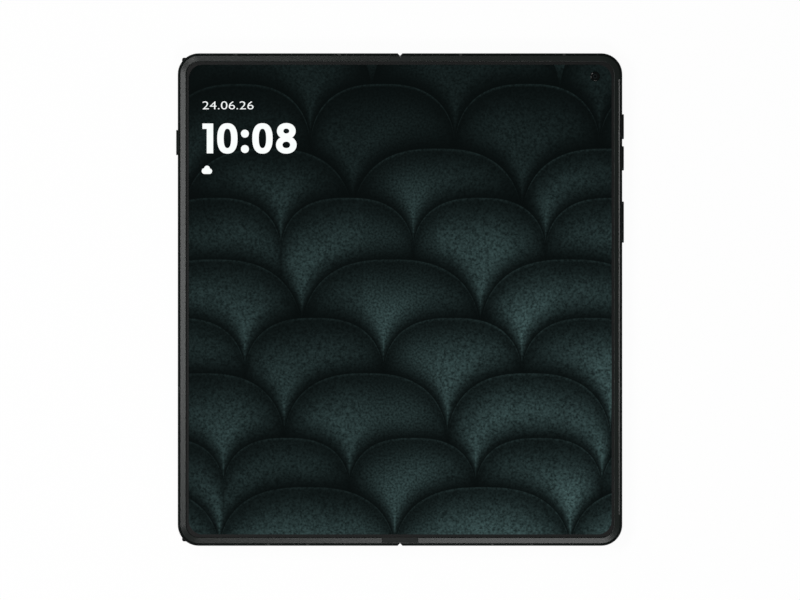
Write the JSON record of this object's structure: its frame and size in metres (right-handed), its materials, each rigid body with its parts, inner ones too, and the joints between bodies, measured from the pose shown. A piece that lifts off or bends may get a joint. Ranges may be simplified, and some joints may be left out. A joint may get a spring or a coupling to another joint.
{
  "type": "foldable smartphone",
  "caption": "Book-style foldable smartphone with a large inner display, a geared double-axis fold, side keys, a SIM tray and a rear camera island.",
  "frame": {"origin": "under the middle of the open phone, at the level of the lens rings on its back", "axes": "+Z out of the inner display, +Y towards the phone's top edge along the fold, +X to the right half with the three keys"},
  "size_m": [0.1456, 0.16, 0.0071],
  "materials": {
    "frame_metal": "anodised, satin",
    "rim_plastic": "satin",
    "antenna_plastic": "matte",
    "display_glass": "gloss",
    "back_glass": "frosted",
    "lens_glass": "gloss",
    "flash_plastic": "gloss",
    "seal_rubber": "matte",
    "hinge_steel": "ground",
    "spring_steel": "rolled",
    "board_laminate": "lacquered",
    "shield_steel": "rolled",
    "cell_foil": "printed foil, bare",
    "coil_copper": "wound",
    "inner_plastic": "moulded",
    "flex_film": "film"
  },
  "bodies": {
    "right_half": {"frame_right": "frame_metal", "rim_right": "rim_plastic", "antenna_gaps_right": "antenna_plastic", "back_cover": "back_glass", "main_display_right": "display_glass", "display_plate_right": "hinge_steel", "camera_island": "frame_metal", "camera_lens_rings": "hinge_steel", "camera_lens_covers": "lens_glass", "camera_modules": "inner_plastic", "flash_lens": "flash_plastic", "inner_camera": "lens_glass", "battery_right": "cell_foil", "wireless_charging_coil": "coil_copper", "main_board": "board_laminate", "board_shields": "shield_steel", "sub_board": "board_laminate", "usb_c_port": "hinge_steel", "bottom_speaker": "inner_plastic", "key_switches_right": "inner_plastic", "arm_brackets_right": "hinge_steel"},
    "left_half": {"frame_left": "frame_metal", "rim_left": "rim_plastic", "antenna_gaps_left": "antenna_plastic", "outer_glass": "display_glass", "outer_display_panel": "inner_plastic", "main_display_left": "display_glass", "display_plate_left": "hinge_steel", "outer_camera": "lens_glass", "battery_left": "cell_foil", "left_board": "board_laminate", "top_speaker": "inner_plastic", "vibration_motor": "shield_steel", "sim_socket": "spring_steel", "key_switch_left": "inner_plastic", "arm_brackets_left": "hinge_steel"},
    "spine": {"hinge_spine_cover": "frame_metal", "hinge_bases": "hinge_steel", "hinge_shafts": "hinge_steel", "cam_sleeves": "hinge_steel", "torque_springs": "spring_steel", "hinge_flex": "flex_film", "main_display_fold": "display_glass", "fold_seals": "seal_rubber"},
    "left_sync": {"left_sync_arms": "hinge_steel"},
    "right_sync": {"right_sync_arms": "hinge_steel"},
    "left_idler": {"left_idler_gears": "hinge_steel"},
    "right_idler": {"right_idler_gears": "hinge_steel"},
    "left_wing": {"left_wing_plate": "hinge_steel"},
    "right_wing": {"right_wing_plate": "hinge_steel"},
    "volume_up": {"volume_up_key": "frame_metal"},
    "volume_down": {"volume_down_key": "frame_metal"},
    "power": {"power_key": "frame_metal"},
    "left_key": {"side_key": "frame_metal"},
    "tray": {"sim_tray": "frame_metal"},
    "motor_weight": {"vibration_weight": "hinge_steel"},
    "focus_group": {"focus_lens_group": "inner_plastic"}
  },
  "joints": [
    {"name": "right_fold", "type": "hinge", "parent": "spine", "child": "right_half", "pos_m": [0.0013, 0, 0.0061], "axis": [0, -1, 0], "range_deg": [0, 90], "deforming": ["main_display_fold", "hinge_flex", "fold_seals"]},
    {"name": "left_fold", "type": "hinge", "parent": "spine", "child": "left_half", "pos_m": [-0.0013, 0, 0.0061], "axis": [0, 1, 0], "range_deg": [0, 90]},
    {"name": "left_sync_turn", "type": "hinge", "parent": "spine", "child": "left_sync", "pos_m": [-0.00225, 0, 0.0049], "axis": [0, 1, 0], "range_deg": [0, 90]},
    {"name": "right_sync_turn", "type": "hinge", "parent": "spine", "child": "right_sync", "pos_m": [0.00225, 0, 0.0049], "axis": [0, 1, 0], "range_deg": [-90, 0]},
    {"name": "left_idler_turn", "type": "hinge", "parent": "spine", "child": "left_idler", "pos_m": [-0.00075, 0, 0.0049], "axis": [0, 1, 0], "range_deg": [-90, 0]},
    {"name": "right_idler_turn", "type": "hinge", "parent": "spine", "child": "right_idler", "pos_m": [0.00075, 0, 0.0049], "axis": [0, 1, 0], "range_deg": [0, 90]},
    {"name": "left_wing_tilt", "type": "hinge", "parent": "left_half", "child": "left_wing", "pos_m": [-0.012, 0, 0.0058], "axis": [0, 1, 0], "range_deg": [0, 8]},
    {"name": "right_wing_tilt", "type": "hinge", "parent": "right_half", "child": "right_wing", "pos_m": [0.012, 0, 0.0058], "axis": [0, 1, 0], "range_deg": [-8, 0]},
    {"name": "volume_up_press", "type": "slide", "parent": "right_half", "child": "volume_up", "axis": [-1, 0, 0], "range_m": [0, 0.0003], "stiffness_N_per_m": 800, "springref_m": -0.0005},
    {"name": "volume_down_press", "type": "slide", "parent": "right_half", "child": "volume_down", "axis": [-1, 0, 0], "range_m": [0, 0.0003], "stiffness_N_per_m": 800, "springref_m": -0.0005},
    {"name": "power_press", "type": "slide", "parent": "right_half", "child": "power", "axis": [-1, 0, 0], "range_m": [0, 0.0003], "stiffness_N_per_m": 800, "springref_m": -0.0005},
    {"name": "side_key_press", "type": "slide", "parent": "left_half", "child": "left_key", "axis": [1, 0, 0], "range_m": [0, 0.0003], "stiffness_N_per_m": 800, "springref_m": -0.0005},
    {"name": "tray_slide", "type": "slide", "parent": "left_half", "child": "tray", "axis": [0, -1, 0], "range_m": [0, 0.016]},
    {"name": "motor_weight_shake", "type": "slide", "parent": "left_half", "child": "motor_weight", "axis": [1, 0, 0], "range_m": [-0.0003, 0.0003], "stiffness_N_per_m": 300},
    {"name": "focus_travel", "type": "slide", "parent": "right_half", "child": "focus_group", "axis": [0, 0, -1], "range_m": [0, 0.00025], "stiffness_N_per_m": 60}
  ],
  "couplings": [
    {"joint": "left_fold", "follows": "right_fold", "ratio": 1},
    {"joint": "left_sync_turn", "follows": "right_fold", "ratio": 1},
    {"joint": "right_sync_turn", "follows": "right_fold", "ratio": -1},
    {"joint": "left_idler_turn", "follows": "right_fold", "ratio": -1},
    {"joint": "right_idler_turn", "follows": "right_fold", "ratio": 1},
    {"joint": "left_wing_tilt", "follows": "right_fold", "ratio": 0.088889},
    {"joint": "right_wing_tilt", "follows": "right_fold", "ratio": -0.088889}
  ]
}
